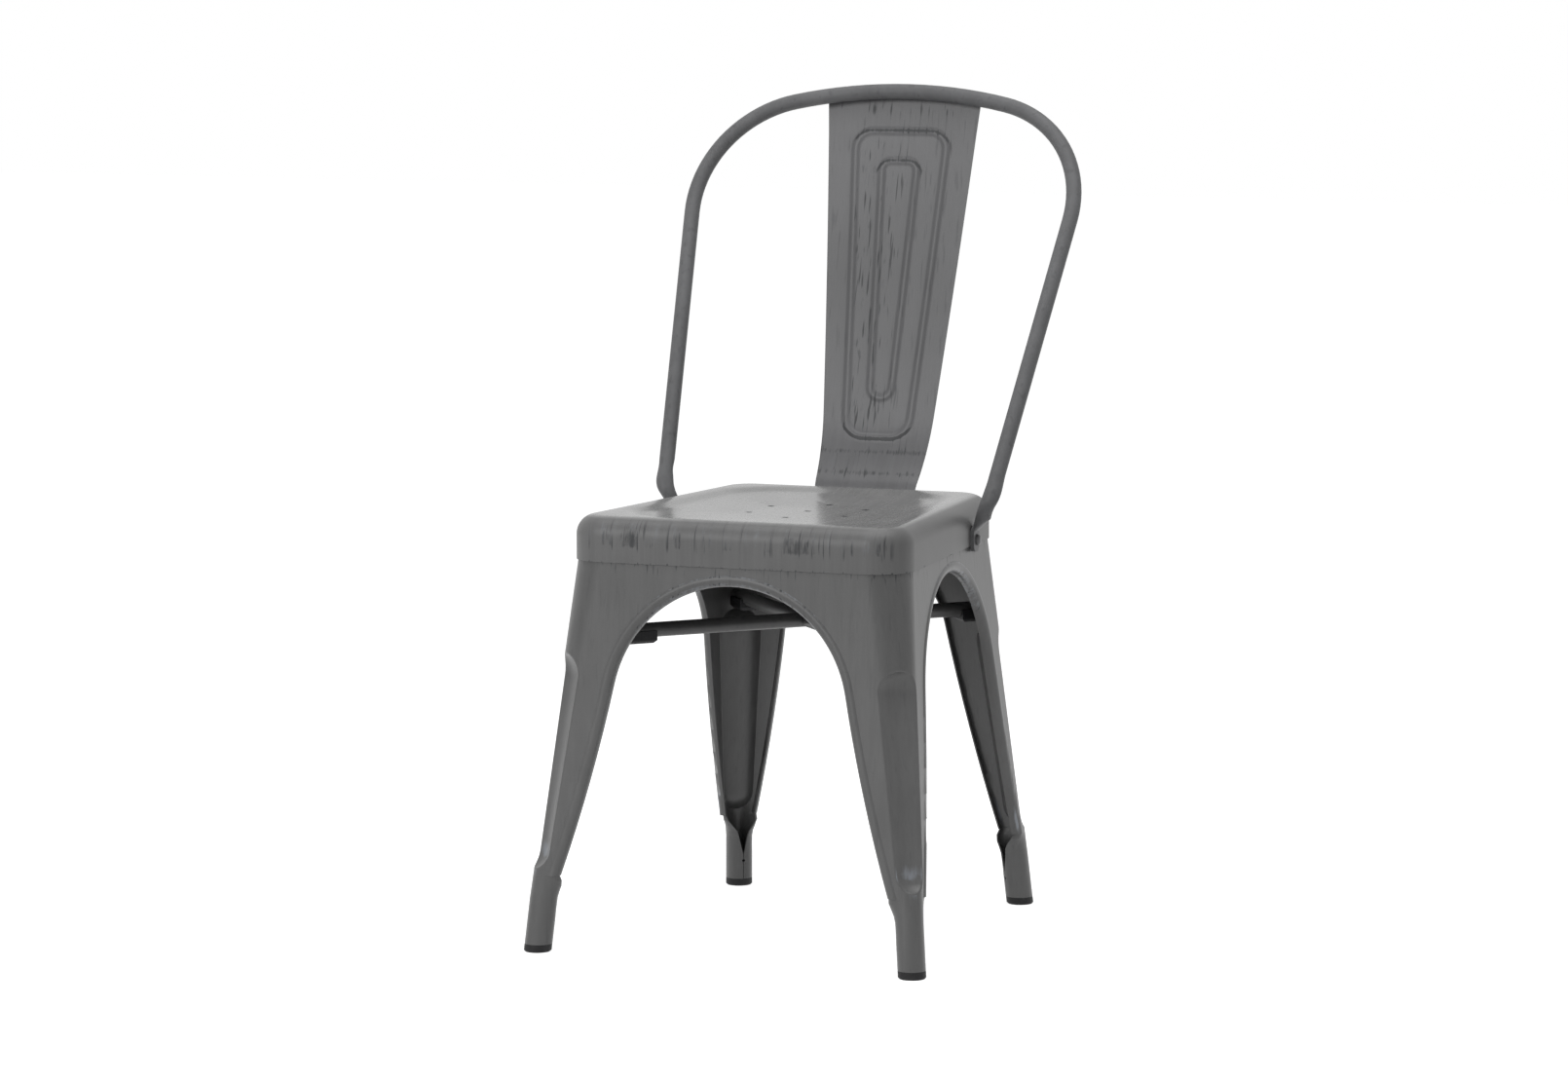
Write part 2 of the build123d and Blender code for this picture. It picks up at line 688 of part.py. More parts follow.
def rib_ring(rib):
    """Front view of a raised rib that runs round a tapered panel."""
    with BuildSketch(Plane.XZ) as ring:
        add(rib_panel(*rib, 0))
        add(rib_panel(*rib, RIB_WIDTH), mode=Mode.SUBTRACT)
    return ring.sketch


RIBS = [
    (OUTER_RIB_TOP_Z, OUTER_RIB_FOOT_Z, OUTER_RIB_TOP_HALF, OUTER_RIB_FOOT_HALF, OUTER_RIB_CORNER),
    (INNER_RIB_TOP_Z, INNER_RIB_FOOT_Z, INNER_RIB_TOP_HALF, INNER_RIB_FOOT_HALF, INNER_RIB_CORNER),
]


def raised_rib(rib):
    """One rib of the splat: its ring of sheet, moved forwards."""
    with BuildPart() as ridge:
        extrude(splat_strip(), amount=SPLAT_TOP_HALF, both=True)
        extrude(rib_ring(rib), amount=OVERALL_DEPTH, both=True, mode=Mode.INTERSECT)
    return Pos(0, -RIB_HEIGHT * cos(LEAN), RIB_HEIGHT * sin(LEAN)) * ridge.part


def neck_plane(seat, z, out):
    """Level plane over a bolt seat at height z, a distance out from the tongue's inner face."""
    middle = seat.origin + seat.z_dir * out
    return Plane((middle.X, middle.Y, z), x_dir=seat.x_dir, z_dir=(0, 0, 1))


# Inside the skirt and the leg's collar: the washer, the nut and the bolt's end
WASHER_SEAT = 2 * SHEET + 3 * FIT_GAP
NUT_SEAT = WASHER_SEAT + WASHER_HEIGHT + FIT_GAP
BOLT_END = NUT_SEAT + NUT_HEIGHT + THREAD_PAST_NUT


def bolt(seat, plate):
    """Round-head bolt through a plate, the skirt and the collar."""
    out = Axis(seat.origin, seat.z_dir)
    with BuildPart(seat.offset(plate + FIT_GAP)) as piece:
        Cylinder(HEAD_DIAMETER / 2, HEAD_HEIGHT, align=RISING)
        fillet(piece.edges().sort_by(out)[-1], HEAD_ROUND)
        Cylinder(BOLT_DIAMETER / 2, plate + FIT_GAP + BOLT_END, align=FALLING)
    return piece.part


def splat_bolt(seat):
    """Round-head bolt through the splat's tail."""
    return bolt(seat, SHEET)


def nut(seat):
    """Hexagon nut on a bolt's thread."""
    with BuildPart() as piece:
        with BuildSketch(seat.offset(-NUT_SEAT)):
            RegularPolygon(NUT_ACROSS / 2, 6, major_radius=False)
            Circle(BOLT_DIAMETER / 2 + FIT_GAP / 2, mode=Mode.SUBTRACT)
        extrude(amount=-NUT_HEIGHT)
    return piece.part


def washer(seat):
    """Flat washer under a nut."""
    with BuildPart() as piece:
        with BuildSketch(seat.offset(-WASHER_SEAT)):
            Circle(WASHER_DIAMETER / 2)
            Circle(HOLE_RADIUS, mode=Mode.SUBTRACT)
        extrude(amount=-WASHER_HEIGHT)
    return piece.part


# Brace: planes across each tube at the crossing, with +X up
BRACE_RADIUS = BRACE_DIAMETER / 2
FRONT_TIP = corner(FRONT, BRACE_Z)
REAR_TIP = corner(REAR, BRACE_Z)
FRONT_SHARE = FRONT_TIP.X / (FRONT_TIP.X + REAR_TIP.X)
CROSSING = Vector(0, FRONT_TIP.Y + (REAR_TIP.Y - FRONT_TIP.Y) * FRONT_SHARE, BRACE_Z)
BRACE_PLANE = {
    "left": Plane(CROSSING, x_dir=(0, 0, 1), z_dir=REAR_TIP - CROSSING),
    "right": Plane(CROSSING, x_dir=(0, 0, 1), z_dir=Vector(-REAR_TIP.X, REAR_TIP.Y, BRACE_Z) - CROSSING),
}
FRONT_TIP_REACH = (FRONT_TIP - CROSSING).length
REAR_TIP_REACH = (REAR_TIP - CROSSING).length


def save(part, name):
    """Writes one named piece."""
    part.label = name
    export_step(part, f"parts/{name}.step")
    print(name, round(part.volume / 1000, 2), "cm3")


def save_pair(part, name):
    """Writes a right-hand piece and its mirror image."""
    save(part, name.replace("SIDE", "right"))
    save(mirror(part, about=Plane.YZ), name.replace("SIDE", "left"))


# Seat pan
with BuildPart() as seat_pan:
    add(pan_block(-SKIRT_OUT, SEAM_Z, SEAT_HEIGHT, PAN_ROLL))
    add(pan_block(-FIT_GAP, SEAM_Z - SHEET, SEAT_HEIGHT - SHEET, PAN_ROLL - SHEET), mode=Mode.SUBTRACT)
    with Locations((0, (FRONT_SEAM_Y + REAR_SEAM_Y) / 2 + DRAIN_SETBACK, SEAT_HEIGHT)):
        Hole(DRAIN_DIAMETER / 2, SKIRT_HEIGHT)
        with PolarLocations(DRAIN_RING_RADIUS, DRAIN_COUNT, start_angle=90):
            Hole(DRAIN_DIAMETER / 2, SKIRT_HEIGHT)
    for seat in list(HOOP_SEATS.values()) + SPLAT_SEATS:
        with Locations(seat):
            Cylinder(HOLE_RADIUS, HOLE_REACH, mode=Mode.SUBTRACT)
save(seat_pan.part, "seat_pan")

# Legs
front_leg = pressed_leg(FRONT)
save_pair(front_leg, "front_SIDE_leg")
with BuildPart() as rear_leg:
    add(pressed_leg(REAR))
    for seat in [HOOP_SEATS["right"], SPLAT_SEATS[1]]:
        with Locations(seat):
            Cylinder(HOLE_RADIUS, HOLE_REACH, mode=Mode.SUBTRACT)
save_pair(rear_leg.part, "rear_SIDE_leg")

# Foot plugs
PLUG_PROFILE = [(0, FOOT_RADIUS - PLUG_CHAMFER), (PLUG_CHAMFER, FOOT_RADIUS), (PLUG_HEIGHT, FOOT_RADIUS)]
for end, name in ((FRONT, "front"), (REAR, "rear")):
    with BuildPart() as foot:
        for z, radius in PLUG_PROFILE:
            centre = foot_centre(end, z)
            with BuildSketch(Plane.XY.offset(z)):
                with Locations((centre.X, centre.Y)):
                    Circle(radius)
        loft(ruled=True)
        for z in (PLUG_HEIGHT, PLUG_HEIGHT + PLUG_STEM):
            centre = foot_centre(end, z)
            with BuildSketch(Plane.XY.offset(z)):
                with Locations((centre.X, centre.Y)):
                    Circle(FOOT_RADIUS - SHEET - FIT_GAP)
        loft(ruled=True)
    save_pair(foot.part, f"{name}_SIDE_foot")

# Cross brace: each tube runs from a front leg to the rear leg on the other side
for side, other in (("left", "right"), ("right", "left")):
    under = side == "left"
    with BuildPart() as brace:
        with BuildSketch(BRACE_PLANE[side]):
            Circle(BRACE_RADIUS)
            Circle(BRACE_RADIUS - BRACE_WALL, mode=Mode.SUBTRACT)
        extrude(amount=OVERALL_DEPTH, both=True)
        # The ends stop at the inner faces of the legs
        for z in (BRACE_Z - FAR, SEAM_Z):
            with BuildSketch(Plane.XY.offset(z)) as core:
                with BuildLine():
                    Polyline(*plan_points(z, SHEET + FIT_GAP), close=True)
                make_face()
                fillet(core.vertices(), corner_radius(z) - SHEET - FIT_GAP)
        loft(ruled=True, mode=Mode.INTERSECT)
        # Half-lap: the left-hand tube passes under the right-hand one
        with BuildSketch(BRACE_PLANE[other]):
            Circle(BRACE_RADIUS + FIT_GAP)
            with Locations((-FIT_GAP / 2 if under else FIT_GAP / 2, 0)):
                reach = Align.MIN if under else Align.MAX
                Rectangle(FAR, FAR, align=(reach, Align.CENTER), mode=Mode.INTERSECT)
        extrude(amount=BRACE_DIAMETER, both=True, mode=Mode.SUBTRACT)
    save(brace.part, f"{side}_brace_tube")

# Stacking buffers under the brace tubes
BUFFER_TUBES = {"front_left": "left", "rear_right": "left", "front_right": "right", "rear_left": "right"}
for place, side in BUFFER_TUBES.items():
    plane = BRACE_PLANE[side]
    if place.startswith("front"):
        middle = plane.origin - plane.z_dir * (FRONT_TIP_REACH - FRONT_BUFFER_INSET)
    else:
        middle = plane.origin + plane.z_dir * (REAR_TIP_REACH - REAR_BUFFER_INSET)
    with BuildPart() as buffer:
        with BuildSketch(Plane(middle, x_dir=plane.x_dir, z_dir=plane.z_dir)):
            Rectangle(BRACE_RADIUS + BUFFER_DROP, BUFFER_WIDTH, align=(Align.MAX, Align.CENTER))
            Circle(BRACE_RADIUS + FIT_GAP, mode=Mode.SUBTRACT)
        extrude(amount=BUFFER_LENGTH / 2, both=True)
        chamfer(buffer.faces().sort_by(Axis.Z)[0].edges(), BUFFER_CHAMFER)
    save(buffer.part, f"{place}_buffer")

# Back hoop
HOOP_LINE = hoop_line()
with BuildPart() as back_hoop:
    for radius, mode in ((HOOP_RADIUS, Mode.ADD), (HOOP_RADIUS - HOOP_WALL, Mode.SUBTRACT)):
        with BuildSketch(neck_plane(HOOP_SEATS["right"], TUBE_END_Z, HOOP_RADIUS)):
            Circle(radius)
        sweep(path=HOOP_LINE, mode=mode)
    for seat in HOOP_SEATS.values():
        # Each end is squeezed from the tube into a flat tongue
        with BuildSketch(neck_plane(seat, TUBE_END_Z, HOOP_RADIUS)):
            Circle(HOOP_RADIUS)
        with BuildSketch(neck_plane(seat, TONGUE_TOP_Z, TONGUE_THICKNESS / 2)):
            Ellipse(TONGUE_WIDTH / 2 - TONGUE_EASE, TONGUE_THICKNESS / 2 - TONGUE_EASE)
        loft(ruled=True)
        with BuildSketch(seat):
            with Locations((0, -TONGUE_BELOW_BOLT)):
                RectangleRounded(
                    TONGUE_WIDTH,
                    TONGUE_BELOW_BOLT + TONGUE_ABOVE_BOLT + TONGUE_LAP,
                    TONGUE_CORNER,
                    align=(Align.CENTER, Align.MIN),
                )
        extrude(amount=TONGUE_THICKNESS)
        with Locations(seat):
            Cylinder(HOLE_RADIUS, 3 * TONGUE_THICKNESS, mode=Mode.SUBTRACT)
save(back_hoop.part, "back_hoop")

# Back splat, with its ribs pressed forwards by less than the sheet's thickness
with BuildPart() as back_splat:
    extrude(splat_strip(), amount=2 * SPLAT_TOP_HALF, both=True)
    extrude(splat_outline(), amount=OVERALL_DEPTH, both=True, mode=Mode.INTERSECT)
    for rib in RIBS:
        extrude(rib_ring(rib), amount=OVERALL_DEPTH, both=True, mode=Mode.SUBTRACT)
    for rib in RIBS:
        add(raised_rib(rib))
    for seat in SPLAT_SEATS:
        with Locations(seat):
            Cylinder(HOLE_RADIUS, HOLE_REACH, mode=Mode.SUBTRACT)
save(back_splat.part, "back_splat")

# Fasteners
for side, seat in HOOP_SEATS.items():
    save(bolt(seat, TONGUE_THICKNESS), f"{side}_hoop_bolt")
    save(nut(seat), f"{side}_hoop_nut")
for name, make, seats in (
    ("hoop_washers", washer, HOOP_SEATS.values()),
    ("splat_bolts", splat_bolt, SPLAT_SEATS),
    ("splat_washers", washer, SPLAT_SEATS),
    ("splat_nuts", nut, SPLAT_SEATS),
):
    with BuildPart() as group:
        for seat in seats:
            add(make(seat))
    save(group.part, name)
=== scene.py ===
# %% [markdown]
# The object is a pressed-steel dining chair with a tube back, in a worn gunmetal finish.
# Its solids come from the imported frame, in metres, with +Z up and the chair facing -Y.
# They keep their shape here and get their finish. Three are made anew: the back splat, because its pressed
# rings are round beads, the back's tube, because its ends run straighter than the solid's, and the seat,
# because its dish is a slow curve.

# %% Load the chair
from math import cos, hypot, pi, radians, sin

import bpy
from mathutils import Matrix, Vector


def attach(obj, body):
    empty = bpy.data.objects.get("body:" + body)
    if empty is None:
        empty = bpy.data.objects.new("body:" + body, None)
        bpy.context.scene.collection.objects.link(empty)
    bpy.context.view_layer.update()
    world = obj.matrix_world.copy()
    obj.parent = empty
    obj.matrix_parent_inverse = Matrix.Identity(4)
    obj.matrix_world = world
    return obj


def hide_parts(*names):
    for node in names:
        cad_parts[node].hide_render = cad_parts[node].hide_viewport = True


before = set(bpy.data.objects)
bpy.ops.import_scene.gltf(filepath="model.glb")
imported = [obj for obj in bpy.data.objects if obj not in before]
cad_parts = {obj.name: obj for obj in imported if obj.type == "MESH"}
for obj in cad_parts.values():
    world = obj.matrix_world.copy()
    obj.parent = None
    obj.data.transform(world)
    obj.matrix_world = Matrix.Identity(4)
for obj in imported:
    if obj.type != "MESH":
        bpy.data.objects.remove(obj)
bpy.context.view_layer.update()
bpy.ops.object.select_all(action="DESELECT")
scene = bpy.context.scene
scene.view_settings.view_transform = "Standard"

# %% [markdown]
# The photograph was taken from well away, a little above the seat and to the right of the chair's front.
# A long lens at six metres gives the same flat perspective. The camera's place is written as the angles
# round a point inside the chair, which is how a photographer would set it.

# %% Camera
LOOK_AT = Vector((-0.0198, -0.034, 0.3978))
AZIMUTH = radians(22.02)
ELEVATION = radians(6.73)
ROLL = radians(-0.14)
DISTANCE = 6.0
LENS = 135.61
SENSOR = 36
SIGHT = 200

back = Vector((sin(AZIMUTH) * cos(ELEVATION), -cos(AZIMUTH) * cos(ELEVATION), sin(ELEVATION)))
level = Vector((cos(AZIMUTH), sin(AZIMUTH), 0))
right = level * cos(ROLL) + back.cross(level) * sin(ROLL)
up = back.cross(right)
bpy.ops.object.camera_add()
camera = bpy.context.object
camera.name = "photo_camera"
camera.data.sensor_width = SENSOR
camera.data.lens = LENS
camera.data.clip_end = SIGHT
aim = Matrix((right, up, back)).transposed().to_4x4()
camera.matrix_world = Matrix.Translation(LOOK_AT + back * DISTANCE) @ aim
scene.camera = camera
print("camera at", [round(v, 2) for v in camera.location])

# %% [markdown]
# Every finish is a small graph of nodes, so a few helpers keep the next cells short. One feeds a socket
# from another socket or from a plain value, and the others add the sums that masks are made of.

# %% Node helpers
def feed(socket, source):
    """Links a socket to another one, or sets its value."""
    if isinstance(source, bpy.types.NodeSocket):
        socket.id_data.links.new(source, socket)
    else:
        socket.default_value = source


def add_node(tree, kind, **properties):
    """Adds a node and sets its properties."""
    node = tree.nodes.new(kind)
    for name, value in properties.items():
        setattr(node, name, value)
    return node


def maths(tree, operation, *sources):
    """One sum of one or two values."""
    node = add_node(tree, "ShaderNodeMath", operation=operation)
    for socket, source in zip(node.inputs, sources):
        feed(socket, source)
    return node.outputs[0]


def ramp(tree, value, low, high, start=0.0, end=1.0):
    """A value that goes smoothly from start to end while another goes from low to high."""
    node = add_node(tree, "ShaderNodeMapRange", interpolation_type="SMOOTHSTEP")
    for socket, source in zip(node.inputs, (value, low, high, start, end)):
        feed(socket, source)
    return node.outputs[0]


def near(tree, value, spot, reach, strength):
    """A mask that fades out at some distance from one value."""
    away = maths(tree, "ABSOLUTE", maths(tree, "SUBTRACT", value, spot))
    return ramp(tree, away, 0.0, reach, strength, 0.0)


def blend(tree, share, first, second):
    """A colour between two others."""
    node = add_node(tree, "ShaderNodeMix", data_type="RGBA")
    feed(node.inputs[0], share)
    feed(node.inputs[6], first)
    feed(node.inputs[7], second)
    return node.outputs[2]


def noise(tree, coordinates, size, detail=3.0, rough=0.55):
    """Cloudy values between about 0.3 and 0.7, with size spots to a metre."""
    node = add_node(tree, "ShaderNodeTexNoise")
    for name, source in (("Vector", coordinates), ("Scale", size), ("Detail", detail), ("Roughness", rough)):
        feed(node.inputs[name], source)
    return node.outputs[0]


def stretched(tree, coordinates, stretch):
    """Coordinates scaled by different amounts along the three axes."""
    node = add_node(tree, "ShaderNodeVectorMath", operation="MULTIPLY")
    feed(node.inputs[0], coordinates)
    feed(node.inputs[1], stretch)
    return node.outputs[0]


def parts_of(tree, coordinates):
    """The three coordinates on their own."""
    node = add_node(tree, "ShaderNodeSeparateXYZ")
    feed(node.inputs[0], coordinates)
    return node.outputs


print("helpers ready")

# %% [markdown]
# The chair stands on white, with only a soft shadow under each foot. The floor is one white sheet, and the
# world behind it is white too. Both are bright for the camera and for reflections only, so the metal
# mirrors a white room while the light on it stays plain.

# %% White room
WHITE = (1, 1, 1, 1)
PAPER = (0.8, 0.8, 0.8, 1)
FLOOR_HALF = 12
ROOM_LIGHT = 0.27
FLOOR_GLOW = 0.8

bpy.ops.mesh.primitive_plane_add(size=2 * FLOOR_HALF)
floor = bpy.context.object
floor.name = "studio_floor"


def seen_or_mirrored(tree):
    """One for rays from the camera and for reflections, and nought for rays that light a surface."""
    path = add_node(tree, "ShaderNodeLightPath")
    mirrored = maths(tree, "MAXIMUM", path.outputs["Is Glossy Ray"], path.outputs["Is Transmission Ray"])
    return maths(tree, "MAXIMUM", path.outputs["Is Camera Ray"], mirrored)


paper = bpy.data.materials.new("white_paper")
paper.use_nodes = True
tree = paper.node_tree
shader = tree.nodes["Principled BSDF"]
feed(shader.inputs["Base Color"], PAPER)
feed(shader.inputs["Roughness"], 1.0)
feed(shader.inputs["Specular IOR Level"], 0.0)
feed(shader.inputs["Emission Color"], WHITE)
feed(shader.inputs["Emission Strength"], maths(tree, "MULTIPLY", seen_or_mirrored(tree), FLOOR_GLOW))
floor.data.materials.append(paper)

world = bpy.data.worlds.new("white_room")
scene.world = world
world.use_nodes = True
tree = world.node_tree
background = tree.nodes["Background"]
feed(background.inputs["Color"], WHITE)
feed(background.inputs["Strength"], ramp(tree, seen_or_mirrored(tree), 0.0, 1.0, ROOM_LIGHT, 1.0))
print("floor", FLOOR_HALF * 2, "m wide")

# %% [markdown]
# Two large soft lamps stand in for the studio's softboxes: one overhead, which makes the seat and the top
# of the tube the brightest parts, and one in front on the left, which lifts the front faces.

# %% Lamps
def softbox(name, place, size, power):
    """A square lamp that faces the chair's middle."""
    bpy.ops.object.light_add(type="AREA", location=place)
    lamp = bpy.context.object
    lamp.name = name
    lamp.data.size = size
    lamp.data.energy = power
    lamp.rotation_euler = (LOOK_AT - Vector(place)).to_track_quat("-Z", "Y").to_euler()


softbox("overhead_softbox", place=(0.2, -0.2, 3.0), size=2.6, power=46)
softbox("front_softbox", place=(-1.3, -3.6, 1.9), size=2.2, power=49)

# %% [markdown]
# The sheet was brushed before it was lacquered, so it shows fine strokes along each piece. Noise that is
# squeezed across the strokes and drawn out along them looks the same from every side, and needs no map
# of the surface. The strokes are a group, because almost every metal piece uses them.

# %% Brush strokes
def new_group(name, inputs, outputs):
    """A node group with float, vector and colour sockets, as its tree, its inputs and its output node."""
    tree = bpy.data.node_groups.new(name, "ShaderNodeTree")
    for way, sockets in (("INPUT", inputs), ("OUTPUT", outputs)):
        for socket, kind in sockets:
            tree.interface.new_socket(socket, in_out=way, socket_type="NodeSocket" + kind)
    return tree, tree.nodes.new("NodeGroupInput").outputs, tree.nodes.new("NodeGroupOutput").inputs


def use_group(tree, group, **sources):
    """Places a group in a tree and feeds its inputs by name."""
    node = add_node(tree, "ShaderNodeGroup", node_tree=group)
    for name, source in sources.items():
        feed(node.inputs[name.replace("_", " ").capitalize()], source)
    return node.outputs


strokes, given, result = new_group(
    "brush_strokes",
    [("Coordinates", "Vector"), ("Stretch", "Vector")],
    [("Strokes", "Float"), ("Scratches", "Float")],
)
NOISE_RANGE = (0.3, 0.7)
SCRATCHES_PER_STROKE = 2.6
SCRATCH_RANGE = (0.6, 0.72)
drawn = stretched(strokes, given["Coordinates"], given["Stretch"])
feed(result["Strokes"], ramp(strokes, noise(strokes, drawn, 1.0, detail=4.0, rough=0.65), *NOISE_RANGE))
# Only the highest places of a finer noise become scratches
sparse = noise(strokes, drawn, SCRATCHES_PER_STROKE, detail=1.0)
feed(result["Scratches"], ramp(strokes, sparse, *SCRATCH_RANGE))
print("group", strokes.name, [s.name for s in result if s.name])

# %% [markdown]
# The finish looks old on purpose: black patina sits in broken smudges along edges and seams, and the
# high edges are rubbed back to bluish steel. Where each of them lies is a mask that the material works out
# from the coordinates. This group turns the two masks into colour, roughness, metal and relief.

# %% Worn gunmetal
worn, given, result = new_group(
    "worn_gunmetal",
    [
        ("Coordinates", "Vector"),
        ("Stretch", "Vector"),
        ("Paint", "Color"),
        ("Satin", "Float"),
        ("Rubbed", "Float"),
        ("Patina", "Float"),
    ],
    [("Color", "Color"), ("Roughness", "Float"), ("Metal", "Float"), ("Relief", "Float")],
)
PATINA_BLACK = (0.024, 0.025, 0.027, 1)
RUBBED_STEEL = (0.2, 0.212, 0.232, 1)
SMUDGE_SHARE = (1.6, 1.6, 1.6)
SMUDGE_SPOTS = (30, 30, 30)
CLOUD_SPOTS = 9.0
CLOUD_SHADES = (0.9, 1.08)
STREAK_SHADE = 0.06
RUB_RANGE = (0.85, 1.35)
SMEAR_RANGE = (0.96, 1.22)
CRACK_STRENGTH = 3.0
STROKE_ROUGHNESS = 0.03
SMUDGE_ROUGHNESS = 0.12
RUBBED_METAL = 0.4
STROKE_RELIEF = 0.1
brush = use_group(worn, strokes, coordinates=given["Coordinates"], stretch=given["Stretch"])
clouds = ramp(worn, noise(worn, given["Coordinates"], CLOUD_SPOTS, detail=4.0), *NOISE_RANGE, *CLOUD_SHADES)
streaks = ramp(worn, brush["Strokes"], 0.0, 1.0, -STREAK_SHADE, STREAK_SHADE)
painted = stretched(worn, given["Paint"], maths(worn, "ADD", clouds, streaks))
# The smudges are strokes too, but shorter: each axis gets some more spots than its stretch gives
short = add_node(worn, "ShaderNodeVectorMath", operation="MULTIPLY_ADD")
for socket, source in zip(short.inputs, (given["Stretch"], SMUDGE_SHARE, SMUDGE_SPOTS)):
    feed(socket, source)
broken = noise(worn, stretched(worn, given["Coordinates"], short.outputs[0]), 1.0, detail=5.0, rough=0.65)
rub = ramp(worn, maths(worn, "ADD", broken, given["Rubbed"]), *RUB_RANGE)
cracks = maths(worn, "MULTIPLY", maths(worn, "MULTIPLY", brush["Scratches"], given["Patina"]), CRACK_STRENGTH)
smears = ramp(worn, maths(worn, "ADD", broken, given["Patina"]), *SMEAR_RANGE)
smudge = maths(worn, "MAXIMUM", cracks, smears)
feed(result["Color"], blend(worn, smudge, blend(worn, rub, painted, RUBBED_STEEL), PATINA_BLACK))
satin = maths(worn, "ADD", given["Satin"], maths(worn, "MULTIPLY", brush["Strokes"], STROKE_ROUGHNESS))
feed(result["Roughness"], maths(worn, "ADD", satin, maths(worn, "MULTIPLY", smudge, SMUDGE_ROUGHNESS)))
feed(result["Metal"], maths(worn, "MULTIPLY", rub, RUBBED_METAL))
grooves = maths(worn, "MULTIPLY", brush["Strokes"], STROKE_RELIEF)
feed(result["Relief"], maths(worn, "SUBTRACT", grooves, brush["Scratches"]))
print("group", worn.name, len(worn.nodes), "nodes")

# %% [markdown]
# Each steel piece has its own material, since the strokes run along it and the wear lies in its own places.
# A function lays out what they share: the coordinates, the worn finish and the shader, with masks that the
# next cells work out for each piece.

# %% Steel material
RELIEF = 0.15
BUMP_DEPTH = 0.0002


def steel(name, stretch, wear, relief=RELIEF):
    """A worn steel material; wear gives its paint, its roughness and its masks from the coordinates."""
    material = bpy.data.materials.new(name)
    material.use_nodes = True
    tree = material.node_tree
    shader = tree.nodes["Principled BSDF"]
    place = add_node(tree, "ShaderNodeTexCoord").outputs["Object"]
    paint, satin, rubbed, patina = wear(tree, place)
    finish = use_group(
        tree,
        worn,
        coordinates=place,
        stretch=stretch,
        paint=paint,
        satin=satin,
        rubbed=rubbed,
        patina=patina,
    )
    feed(shader.inputs["Base Color"], finish["Color"])
    feed(shader.inputs["Roughness"], finish["Roughness"])
    feed(shader.inputs["Metallic"], finish["Metal"])
    bump = add_node(tree, "ShaderNodeBump")
    feed(bump.inputs["Strength"], relief)
    feed(bump.inputs["Distance"], BUMP_DEPTH)
    feed(bump.inputs["Height"], finish["Relief"])
    feed(shader.inputs["Normal"], bump.outputs[0])
    return material


def dress(material, *names):
    """Gives CAD pieces their material."""
    for name in names:
        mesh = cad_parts[name].data
        mesh.materials.clear()
        mesh.materials.append(material)
    print(material.name, "on", ", ".join(names))


# %% [markdown]
# On the seat the strokes run from front to back and over the front roll. The top is glossier than the skirt,
# and its colour is painted lighter as a sheen. The roll is rubbed and has clusters of dark strokes, where
# legs and hands have worn it and the patina has stayed between.

# %% Seat finish
SEAM = 0.392
SEAM_LINE = 0.0025
SEAT_FRONT = -0.2257
FRONT_ROLL = (SEAT_FRONT + 0.004, SEAT_FRONT + 0.016)
BAND_START = (0.404, 0.416)
BAND_RUB = 0.36
STROKES_START = (0.402, 0.411)
STROKES_END = (0.419, 0.434)
CLUSTER_SPOTS = (22, 0, 0)
CLUSTER_RANGE = (0.36, 0.62)
DRAIN_PLACE = -0.019
DRAIN_RADIUS = 0.06
DRAIN_ANGLES = [radians(90 + 60 * step) for step in range(6)]
DRAINS = [(0, DRAIN_PLACE, 0)]
DRAINS += [(DRAIN_RADIUS * cos(a), DRAIN_PLACE + DRAIN_RADIUS * sin(a), 0) for a in DRAIN_ANGLES]
DRAIN_RIM = (0.0032, 0.0052)
TOP_FACING = (0.86, 0.995)
SKIRT_GREY = (0.113, 0.113, 0.113, 1)
# Painted sheen: faces that look up get this lighter grey in place of the white room's reflection
SHEEN_PAINTED_GREY = (0.2, 0.2, 0.199, 1)
SKIRT_SATIN = 0.42
POLISHED_SATIN = 0.25
POLISHED_RELIEF = 0.05


def seat_wear(tree, place):
    """Top painted lighter as a sheen and glossier, rubbed front roll with strokes of patina in clusters, dark
    seam and drain holes.
    """
    _, y, z = parts_of(tree, place)
    facing_up = parts_of(tree, add_node(tree, "ShaderNodeTexCoord").outputs["Normal"])[2]
    # The top's lighter paint is a painted sheen
    paint = blend(tree, ramp(tree, facing_up, *TOP_FACING), SKIRT_GREY, SHEEN_PAINTED_GREY)
    satin = ramp(tree, facing_up, *TOP_FACING, SKIRT_SATIN, POLISHED_SATIN)
    front = ramp(tree, y, *FRONT_ROLL, 1.0, 0.0)
    band = maths(tree, "MULTIPLY", ramp(tree, z, *BAND_START), front)
    height = maths(tree, "MULTIPLY", ramp(tree, z, *STROKES_START), ramp(tree, z, *STROKES_END, 1.0, 0.4))
    spots = noise(tree, stretched(tree, place, CLUSTER_SPOTS), 1.0, detail=2.0)
    clusters = ramp(tree, spots, *CLUSTER_RANGE, 0.24, 0.6)
    patina = maths(tree, "MULTIPLY", maths(tree, "MULTIPLY", height, front), clusters)
    patina = maths(tree, "MAXIMUM", patina, ramp(tree, z, SEAM, SEAM + SEAM_LINE, 0.5, 0.0))
    level_place = stretched(tree, place, (1, 1, 0))
    for hole in DRAINS:
        away = add_node(tree, "ShaderNodeVectorMath", operation="DISTANCE")
        feed(away.inputs[0], level_place)
        feed(away.inputs[1], hole)
        patina = maths(tree, "MAXIMUM", patina, ramp(tree, away.outputs["Value"], *DRAIN_RIM, 0.9, 0.0))
    return paint, satin, maths(tree, "MULTIPLY", band, BAND_RUB), patina


seat_steel = steel("seat_steel", (130, 5, 5), seat_wear, POLISHED_RELIEF)
print("drain holes", len(DRAINS))
